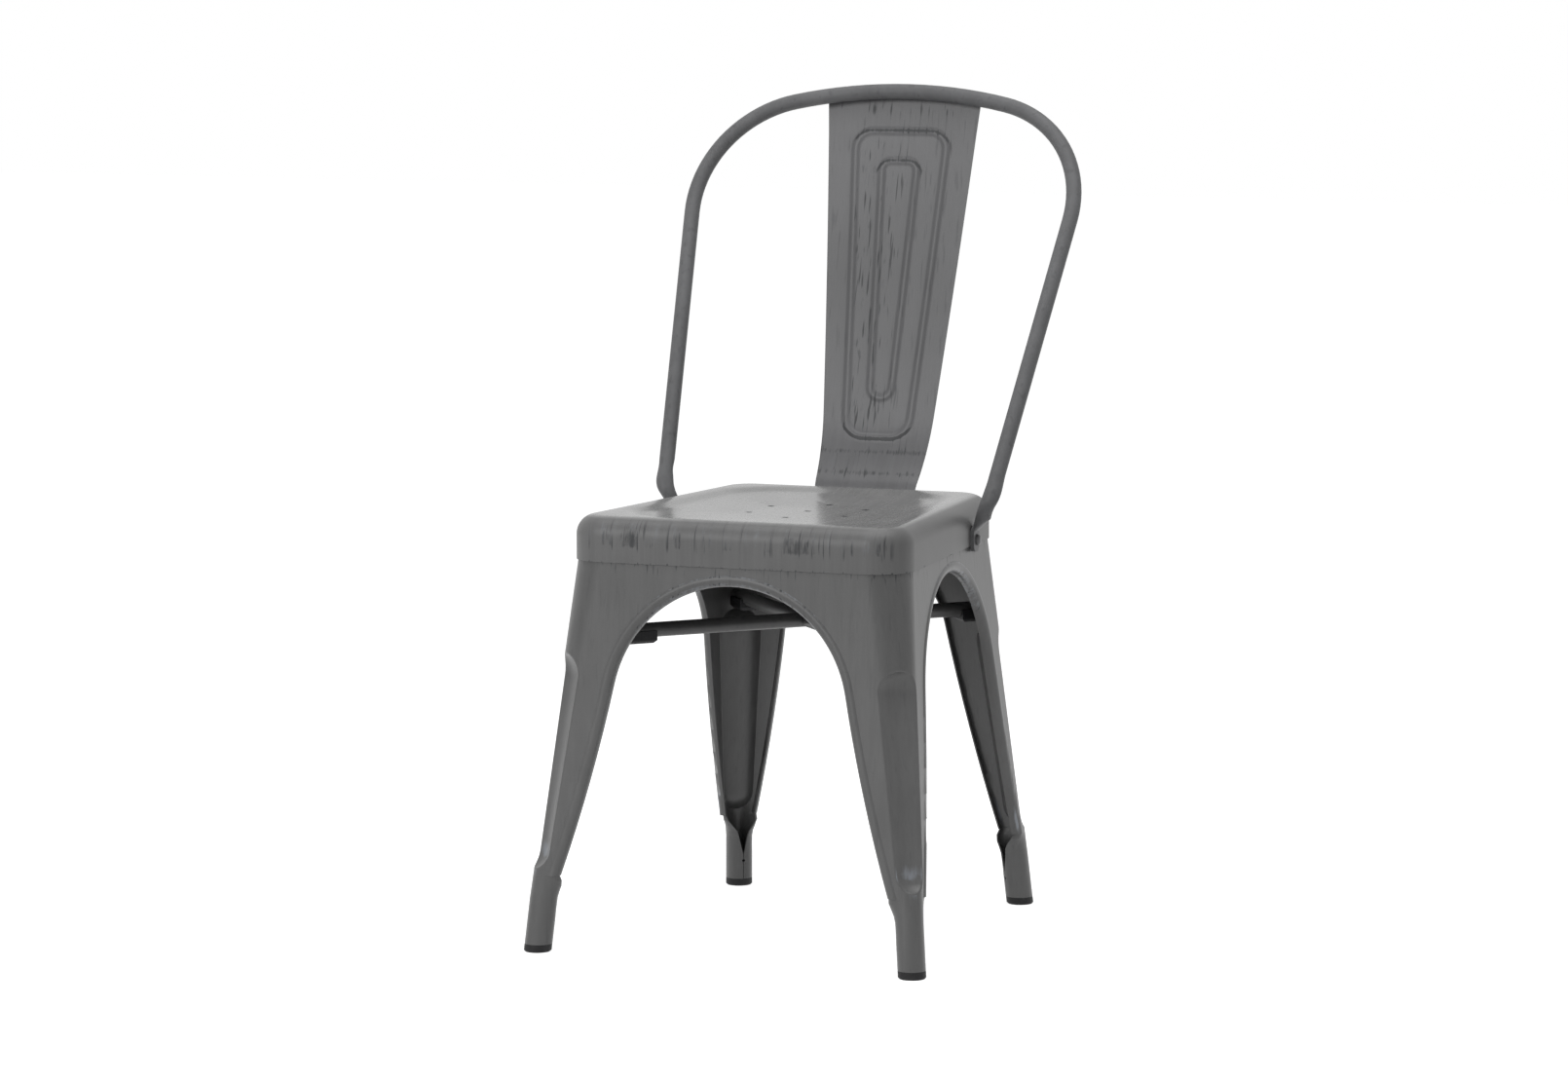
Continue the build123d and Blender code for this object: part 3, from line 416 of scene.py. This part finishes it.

# %% [markdown]
# The legs are brushed downwards. Patina gathers under the seam. The rolled lips of the arches stand out from
# the upright faces, so they are rubbed, and their rub is also a painted highlight: a normal that points up or
# down tells them from the faces.
# A painted highlight lies on the outer corner at the foot of each flute.

# %% Leg finish
LEG_GREY = (0.101, 0.101, 0.101, 1)
UPPER_GREY = (0.085, 0.085, 0.085, 1)
UPPER_START = (0.2, 0.36)
LEG_SATIN = 0.34
LIP_TILT = (0.2, 0.5)
ARCH_SHOULDER = (0.315, 0.33)
# The lips' rub is wear and a painted highlight together
LIP_RUB_AND_HIGHLIGHT = 0.5
LIP_PATINA = 0.36
CORNER_FACING = (0.3, 0.49)
# Height and reach of the painted highlight at the flute's foot
FLUTE_HIGHLIGHT_HEIGHT = 0.094
FLUTE_HIGHLIGHT_REACH = 0.032
SEAM_REACH = 0.012


def leg_wear(tree, place):
    """Rubbed and smudged lips that also carry a painted highlight, a painted highlight at the flute's foot,
    and patina under the seam.
    """
    x, _, z = parts_of(tree, place)
    facing = parts_of(tree, add_node(tree, "ShaderNodeTexCoord").outputs["Normal"])
    across, along, tilt = [maths(tree, "ABSOLUTE", part) for part in facing]
    paint = blend(tree, ramp(tree, z, *UPPER_START), LEG_GREY, UPPER_GREY)
    lips = maths(tree, "MULTIPLY", ramp(tree, tilt, *LIP_TILT), ramp(tree, z, *ARCH_SHOULDER))
    # On a corner the normal points as much across as along, and their product comes near a half
    corner = ramp(tree, maths(tree, "MULTIPLY", across, along), *CORNER_FACING)
    outside = ramp(tree, maths(tree, "MULTIPLY", facing[0], x), 0.0, 0.05)
    # Painted highlight: the outer corner at the flute's foot gets the lighter rubbed colour
    foot = maths(tree, "MULTIPLY", outside, near(tree, z, FLUTE_HIGHLIGHT_HEIGHT, FLUTE_HIGHLIGHT_REACH, 0.85))
    spot = maths(tree, "MULTIPLY", corner, foot)
    # This rubbed mask holds painted highlights as well as wear
    rubbed = maths(tree, "MAXIMUM", spot, maths(tree, "MULTIPLY", lips, LIP_RUB_AND_HIGHLIGHT))
    seam = ramp(tree, z, SEAM - SEAM_REACH, SEAM, 0.045, 0.46)
    patina = maths(tree, "MAXIMUM", seam, maths(tree, "MULTIPLY", lips, LIP_PATINA))
    return paint, LEG_SATIN, rubbed, patina


leg_steel = steel("leg_steel", (110, 110, 6), leg_wear)
dress(leg_steel, "front_left_leg", "front_right_leg", "rear_left_leg", "rear_right_leg")

# %% [markdown]
# The tube of the back is bluer than the sheet and has less gloss, and the tubes of the brace are darker.
# Their wear is too fine to have a place of its own, so it is the same all over, as on the bolts.

# %% Tube finish
EVEN_RUB = 0.15
EVEN_PATINA = 0.06
HOOP_GREY = (0.148, 0.149, 0.153, 1)
HOOP_GLOSS = 0.2
BRACE_GREY = (0.078, 0.078, 0.078, 1)
BOLT_GREY = (0.1, 0.1, 0.103, 1)


def even_wear(paint, satin):
    """Wear that is the same all over a piece of one colour."""
    return lambda tree, place: (paint, satin, EVEN_RUB, EVEN_PATINA)


hoop_steel = steel("hoop_steel", (60, 60, 40), even_wear(HOOP_GREY, 0.46))
feed(hoop_steel.node_tree.nodes["Principled BSDF"].inputs["Specular IOR Level"], HOOP_GLOSS)
brace_steel = steel("brace_tube_steel", (60, 60, 60), even_wear(BRACE_GREY, 0.38))
dress(brace_steel, "left_brace_tube", "right_brace_tube")
bolt_steel = steel("bolt_steel", (90, 90, 90), even_wear(BOLT_GREY, 0.36))
dress(
    bolt_steel,
    "left_hoop_bolt",
    "right_hoop_bolt",
    "left_hoop_nut",
    "right_hoop_nut",
    "hoop_washers",
    "splat_bolts",
    "splat_washers",
    "splat_nuts",
)

# %% [markdown]
# The splat is one strip of sheet with two rings pressed into it and three bends along its length. A press
# would form the rings first and bend the strip after, and so does this: the strip is laid out flat, with Y
# along it, the rings are raised by insets that follow a wave, and the bends come last.

# %% Splat outline
SPLAT_LENGTH = 0.4688
SPLAT_FOOT_HALF = 0.053
SPLAT_TOP_HALF = 0.086
CROWN_SAG = 0.0064
EDGE_CUTS = 9
TOUCH = 0.00001


def pick(test):
    """Selects the vertices in edit mode whose place passes a test."""
    mesh = bpy.context.object.data
    bpy.ops.mesh.select_all(action="DESELECT")
    bpy.ops.object.mode_set(mode="OBJECT")
    for vertex in mesh.vertices:
        vertex.select = test(vertex.co)
    bpy.ops.object.mode_set(mode="EDIT")


def add_panel(low, high, low_half, high_half):
    """Adds a flat face in edit mode, with a width of its own at each end, and leaves it selected."""
    bpy.ops.mesh.primitive_plane_add(size=2)
    bpy.ops.transform.resize(value=(low_half, (high - low) / 2, 1))
    bpy.ops.transform.translate(value=(0, (low + high) / 2, 0))
    bpy.ops.object.vertex_group_add()
    bpy.ops.object.vertex_group_assign()
    pick(lambda co: abs(co.y - high) < TOUCH and abs(abs(co.x) - low_half) < TOUCH)
    bpy.ops.transform.resize(value=(high_half / low_half, 1, 1), center_override=(0, high, 0))
    bpy.ops.mesh.select_all(action="DESELECT")
    bpy.ops.object.vertex_group_select()
    bpy.ops.object.vertex_group_remove()


def keep_loop(name):
    """Remembers the selected loop by name."""
    bpy.ops.object.vertex_group_add()
    bpy.ops.object.vertex_group_assign()
    bpy.context.object.vertex_groups.active.name = name


def join_loops(*names):
    """Bridges two remembered loops."""
    groups = bpy.context.object.vertex_groups
    bpy.ops.mesh.select_all(action="DESELECT")
    for name in names:
        groups.active = groups[name]
        bpy.ops.object.vertex_group_select()
    bpy.ops.mesh.bridge_edge_loops()


bpy.ops.object.select_all(action="DESELECT")
bpy.ops.mesh.primitive_plane_add(size=2, enter_editmode=True)
splat = bpy.context.object
splat.name = "pressed_splat"
bpy.ops.mesh.delete(type="VERT")
add_panel(0, SPLAT_LENGTH, SPLAT_FOOT_HALF, SPLAT_TOP_HALF)
bpy.ops.mesh.delete(type="ONLY_FACE")
pick(lambda co: True)
bpy.ops.mesh.subdivide(number_cuts=EDGE_CUTS)
keep_loop("outline")
# The top edge follows the curve of the hoop's crown
for step in range(EDGE_CUTS + 2):
    x = SPLAT_TOP_HALF * (2 * step / (EDGE_CUTS + 1) - 1)
    pick(lambda co: abs(co.y - SPLAT_LENGTH) < TOUCH and abs(co.x - x) < TOUCH)
    bpy.ops.transform.translate(value=(0, -CROWN_SAG * (x / SPLAT_TOP_HALF) ** 2, 0))
print("outline", len(splat.data.vertices), "points")

# %% [markdown]
# Each ring is a low round bead. A rounded panel is inset in small steps, and every step is raised or lowered
# so that the steps follow one wave, up and down again. The rings and the outline are then bridged.

# %% Pressed rings
BEAD_WIDTH = 0.012
BEAD_HEIGHT = 0.0012
BEAD_STEPS = 10
CORNER_CUTS = 7
LARGE_RING = {"low_half": 0.0405, "high_half": 0.058, "corner": 0.026}
SMALL_RING = {"low_half": 0.0175, "high_half": 0.026, "corner": 0.0165}


def wave(step):
    """Height of the bead after some of its steps."""
    return BEAD_HEIGHT * (1 - cos(2 * pi * step / BEAD_STEPS)) / 2


def press_ring(name, low, high, low_half, high_half, corner):
    """Adds a rounded panel and raises a bead round its edge; the face inside the bead stays selected.

    An inset passes the names of its loops on to the new points, so they are taken off again.
    """
    add_panel(low, high, low_half, high_half)
    bpy.ops.mesh.bevel(offset=corner, segments=CORNER_CUTS, affect="VERTICES")
    keep_loop(name + " outside")
    for step in range(BEAD_STEPS):
        rise = wave(step + 1) - wave(step)
        bpy.ops.mesh.inset(thickness=BEAD_WIDTH / BEAD_STEPS, depth=rise, use_even_offset=True)
        bpy.ops.object.vertex_group_remove_from(use_all_groups=True)


press_ring("large", low=0.0925, high=0.4295, **LARGE_RING)
keep_loop("large inside")
bpy.ops.mesh.delete(type="ONLY_FACE")
press_ring("small", low=0.1345, high=0.398, **SMALL_RING)
join_loops("outline", "large outside")
join_loops("large inside", "small outside")
bpy.ops.object.vertex_group_remove(all=True)
bpy.ops.mesh.select_all(action="SELECT")
bpy.ops.mesh.normals_make_consistent(inside=False)
bpy.ops.object.mode_set(mode="OBJECT")
if sum(face.normal.z for face in splat.data.polygons) < 0:
    bpy.ops.object.mode_set(mode="EDIT")
    bpy.ops.mesh.flip_normals()
    bpy.ops.object.mode_set(mode="OBJECT")
print("flat splat", len(splat.data.polygons), "faces")

# %% [markdown]
# A bend is made of short straight runs. The flat strip is cut across where a bend will be, and from the top
# down everything beyond each cut is turned a little about it, as a press brake would do. The strip leaves
# the skirt upright, turns back, eases forward again and rises in a long slow curve to the hoop.

# %% Splat bends
SPLAT_FOOT = Vector((0, 0.1379, 0.396))
# Where a bend starts, how long it is, its turn in degrees and its number of cuts
BENDS = [(0.022, 0.02793, -40, 10), (0.04993, 0.07418, 25, 10), (0.1241, 0.34067, 3.343, 12)]
cuts = []
for start, length, turn, steps in BENDS:
    cuts += [(start + (step + 0.5) * length / steps, radians(turn / steps)) for step in range(steps)]
bpy.ops.object.mode_set(mode="EDIT")
for place, turn in cuts:
    bpy.ops.mesh.select_all(action="SELECT")
    bpy.ops.mesh.bisect(plane_co=(0, place, 0), plane_no=(0, 1, 0))
# The rotate operator turns the other way here, so the angle is given with its sign changed
for place, turn in reversed(cuts):
    pick(lambda co: co.y > place - TOUCH)
    bpy.ops.transform.rotate(value=-turn, orient_axis="X", center_override=(0, place, 0))
bpy.ops.mesh.select_all(action="SELECT")
bpy.ops.transform.rotate(value=-pi / 2, orient_axis="X", center_override=(0, 0, 0))
bpy.ops.transform.translate(value=SPLAT_FOOT)
bpy.ops.object.mode_set(mode="OBJECT")
reach = [tuple(round(v, 4) for v in corner) for corner in (splat.bound_box[0], splat.bound_box[6])]

# %% [markdown]
# The strip gets its thickness backwards, so that the front face stays where the solid has it, and two holes
# for the bolts that hold its tail to the skirt.

# %% Splat thickness and holes
SHEET = 0.0015
HOLE_RADIUS = 0.0032
BOLT_X = 0.032
BOLT_Z = 0.405
DRILL_LENGTH = 0.01
SMOOTH_ANGLE = radians(35)
wall = splat.modifiers.new("sheet", "SOLIDIFY")
wall.thickness = SHEET
wall.offset = -1
bpy.ops.object.modifier_apply(modifier="sheet")
for side in (-1, 1):
    bpy.ops.mesh.primitive_cylinder_add(
        radius=HOLE_RADIUS,
        depth=DRILL_LENGTH,
        location=(side * BOLT_X, SPLAT_FOOT.y, BOLT_Z),
        rotation=(pi / 2, 0, 0),
    )
    drill = bpy.context.object
    bpy.context.view_layer.objects.active = splat
    hole = splat.modifiers.new("hole", "BOOLEAN")
    hole.object = drill
    bpy.ops.object.modifier_apply(modifier="hole")
    bpy.data.objects.remove(drill)
bpy.ops.object.select_all(action="DESELECT")
splat.select_set(True)
bpy.ops.object.shade_smooth_by_angle(angle=SMOOTH_ANGLE)
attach(splat, "root")
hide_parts("back_splat")
print("splat", len(splat.data.polygons), "faces")

# %% [markdown]
# The wear on the splat follows its pressing, so its masks have to know where the rings are. Painting them by
# hand would need a map of the surface. A group measures the distance to a ring instead: seen from the
# front, a ring is a box with rounded corners that gets wider upwards.

# %% Distance to a ring
ring, given, result = new_group(
    "ring_distance",
    [
        ("Coordinates", "Vector"),
        ("Low", "Float"),
        ("High", "Float"),
        ("Low half", "Float"),
        ("High half", "Float"),
        ("Corner", "Float"),
    ],
    [("Distance", "Float")],
)
x, _, z = parts_of(ring, given["Coordinates"])
rise = add_node(ring, "ShaderNodeMapRange", clamp=False)
feed(rise.inputs[0], z)
for socket, name in zip(rise.inputs[1:5], ("Low", "High", "Low half", "High half")):
    feed(socket, given[name])
middle = maths(ring, "MULTIPLY", maths(ring, "ADD", given["Low"], given["High"]), 0.5)
half = maths(ring, "MULTIPLY", maths(ring, "SUBTRACT", given["High"], given["Low"]), 0.5)
out = []
for place, reach in ((x, rise.outputs[0]), (maths(ring, "SUBTRACT", z, middle), half)):
    straight = maths(ring, "SUBTRACT", reach, given["Corner"])
    out.append(maths(ring, "SUBTRACT", maths(ring, "ABSOLUTE", place), straight))
squares = [maths(ring, "POWER", maths(ring, "MAXIMUM", past, 0.0), 2.0) for past in out]
outside = maths(ring, "SQRT", maths(ring, "ADD", *squares))
inside = maths(ring, "MINIMUM", maths(ring, "MAXIMUM", *out), 0.0)
feed(result["Distance"], maths(ring, "SUBTRACT", maths(ring, "ADD", outside, inside), given["Corner"]))
print("group", ring.name, len(ring.nodes), "nodes")

# %% [markdown]
# The patina was wiped off the splat's high places. It stayed along the rings' top edges, at the large ring's
# foot, in rows along the bends and the top edge, and in fine scratches between the rings. The middle of the
# splat is a little deeper in colour than its ends.

# %% Splat finish
SPLAT_GREY = (0.103, 0.103, 0.107, 1)
SPLAT_DEEP = (0.08, 0.08, 0.083, 1)
SPLAT_SATIN = 0.36
SPLAT_RUB = 0.12
SPLAT_PATINA = 0.1
DEEP_MIDDLE = 0.64
DEEP_REACH = 0.17
LARGE_TOP = (0.775, 0.795)
LARGE_FOOT = (0.488, 0.505)
SMALL_TOP = (0.745, 0.762)
# Height, reach and strength of each row
PATINA_ROWS = [(0.47, 0.009, 0.54), (0.449, 0.008, 0.54), (0.823, 0.011, 0.36)]


def splat_wear(tree, place):
    """Patina along the rings' edges, in rows above and below them and in scratches between them."""
    x, _, z = parts_of(tree, place)
    large = use_group(tree, ring, coordinates=place, low=0.483, high=0.801, **LARGE_RING)["Distance"]
    small = use_group(tree, ring, coordinates=place, low=0.52, high=0.77, **SMALL_RING)["Distance"]
    between = ramp(tree, large, -BEAD_WIDTH, -0.003, 0.4, 0.0)
    masks = [
        maths(tree, "MULTIPLY", near(tree, large, 0.0, 0.0045, 0.75), ramp(tree, z, *LARGE_TOP)),
        maths(tree, "MULTIPLY", near(tree, large, 0.0, 0.004, 1.1), ramp(tree, z, *LARGE_FOOT, 1.0, 0.0)),
        maths(tree, "MULTIPLY", near(tree, small, 0.0, 0.0045, 0.75), ramp(tree, z, *SMALL_TOP)),
        maths(tree, "MULTIPLY", between, ramp(tree, x, -0.015, 0.025, 1.0, 0.3)),
    ]
    masks += [near(tree, z, *row) for row in PATINA_ROWS]
    patina = SPLAT_PATINA
    for mask in masks:
        patina = maths(tree, "MAXIMUM", patina, mask)
    paint = blend(tree, near(tree, z, DEEP_MIDDLE, DEEP_REACH, 1.0), SPLAT_GREY, SPLAT_DEEP)
    return paint, SPLAT_SATIN, SPLAT_RUB, patina


splat_steel = steel("splat_steel", (130, 11, 11), splat_wear)
splat.data.materials.append(splat_steel)
print(splat_steel.name, "on", splat.name)

# %% [markdown]
# The tube of the back runs on almost straight until it meets its flattened ends. The solid's necks turn
# upright a little too soon, so a copy of the solid is merged, cut into short rings at the necks, and pulled
# outwards and forwards there, while the rings above and below follow less and less.

# %% Hoop necks
NECK_CUTS = [0.408 + 0.004 * step for step in range(18)]
NECK_HEIGHT = NECK_CUTS[7]
NECK_OUT = 0.0086
NECK_FORWARD = 0.0096
NECK_REACH = 0.032


def copy_solid(node, name):
    """Copies a solid's mesh into a piece of its own, merged and in edit mode."""
    piece = bpy.data.objects.new(name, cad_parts[node].data.copy())
    scene.collection.objects.link(piece)
    bpy.ops.object.select_all(action="DESELECT")
    piece.select_set(True)
    bpy.context.view_layer.objects.active = piece
    bpy.ops.mesh.customdata_custom_splitnormals_clear()
    bpy.ops.object.mode_set(mode="EDIT")
    bpy.ops.mesh.select_all(action="SELECT")
    bpy.ops.mesh.remove_doubles(threshold=TOUCH)
    return piece


def finish_copy(piece, node, material):
    """Smooths a changed copy, dresses it and puts it in the solid's place."""
    bpy.ops.object.mode_set(mode="OBJECT")
    bpy.ops.object.shade_smooth_by_angle(angle=SMOOTH_ANGLE)
    piece.data.materials.clear()
    piece.data.materials.append(material)
    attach(piece, "root")
    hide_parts(node)
    print(piece.name, len(piece.data.polygons), "faces")


hoop = copy_solid("back_hoop", "bent_hoop")
for height in NECK_CUTS:
    bpy.ops.mesh.select_all(action="SELECT")
    bpy.ops.mesh.bisect(plane_co=(0, 0, height), plane_no=(0, 0, 1))
for side in (-1, 1):
    pick(lambda co: abs(co.z - NECK_HEIGHT) < TOUCH and co.x * side > 0)
    bpy.ops.transform.translate(
        value=(side * NECK_OUT, -NECK_FORWARD, 0),
        use_proportional_edit=True,
        proportional_edit_falloff="SMOOTH",
        proportional_size=NECK_REACH,
    )
finish_copy(hoop, "back_hoop", hoop_steel)

# %% [markdown]
# The seat's dish has no flat floor: it falls slowly from the rim to the drain holes, and in the photograph
# its edge hardly shows. The solid's dish has a wall and a floor, so a copy of the seat has everything inside
# its rim squeezed upwards, and the part with the holes pushed down again.

# %% Shallow seat
SEAT_TOP = 0.437
RIM_WIDTH = 0.022
SEAT_BACK = 0.136
FRONT_HALF = 0.181
SIDE_TAPER = 0.0972
DISH_SHARE = 0.45
DRAIN_REACH = 0.066
DRAIN_DROP = 0.0055


def in_dish(co):
    """True for points of the seat's top inside its rim; the seat gets narrower to the back."""
    half = FRONT_HALF - SIDE_TAPER * (co.y - SEAT_FRONT)
    within = abs(co.x) < half - RIM_WIDTH
    return within and SEAT_FRONT + RIM_WIDTH < co.y < SEAT_BACK - RIM_WIDTH and co.z > SEAM


seat = copy_solid("seat_pan", "shallow_seat")
pick(in_dish)
bpy.ops.transform.resize(value=(1, 1, DISH_SHARE), center_override=(0, 0, SEAT_TOP))
pick(lambda co: in_dish(co) and hypot(co.x, co.y - DRAIN_PLACE) < DRAIN_REACH)
bpy.ops.transform.translate(value=(0, 0, -DRAIN_DROP))
finish_copy(seat, "seat_pan", seat_steel)

# %% [markdown]
# The foot plugs and the stacking pads are moulded in black plastic with a fine matt grain. The grain is too
# fine to model, so one noise gives both the roughness and the bump, and a coarser one the paler scuffs.

# %% Black plastic
PLASTIC_BLACK = (0.008, 0.008, 0.009, 1)
SCUFFED_BLACK = (0.022, 0.022, 0.023, 1)
GRAIN_SPOTS = 900.0
SCUFF_SPOTS = 60.0
SCUFF_RANGE = (0.52, 0.7)
GRAIN_ROUGHNESS = (0.5, 0.64)
PLASTIC_GLOSS = 0.3
GRAIN_RELIEF = 0.3
plastic = bpy.data.materials.new("moulded_plastic")
plastic.use_nodes = True
tree = plastic.node_tree
shader = tree.nodes["Principled BSDF"]
place = add_node(tree, "ShaderNodeTexCoord").outputs["Object"]
grain = noise(tree, place, GRAIN_SPOTS, detail=2.0)
scuffs = ramp(tree, noise(tree, place, SCUFF_SPOTS, detail=5.0, rough=0.7), *SCUFF_RANGE)
feed(shader.inputs["Base Color"], blend(tree, scuffs, PLASTIC_BLACK, SCUFFED_BLACK))
feed(shader.inputs["Roughness"], ramp(tree, grain, *NOISE_RANGE, *GRAIN_ROUGHNESS))
feed(shader.inputs["Specular IOR Level"], PLASTIC_GLOSS)
bump = add_node(tree, "ShaderNodeBump")
feed(bump.inputs["Strength"], GRAIN_RELIEF)
feed(bump.inputs["Distance"], BUMP_DEPTH)
feed(bump.inputs["Height"], grain)
feed(shader.inputs["Normal"], bump.outputs[0])
corners = ("front_left", "front_right", "rear_left", "rear_right")
dress(plastic, *[f"{corner}_{piece}" for corner in corners for piece in ("foot", "buffer")])
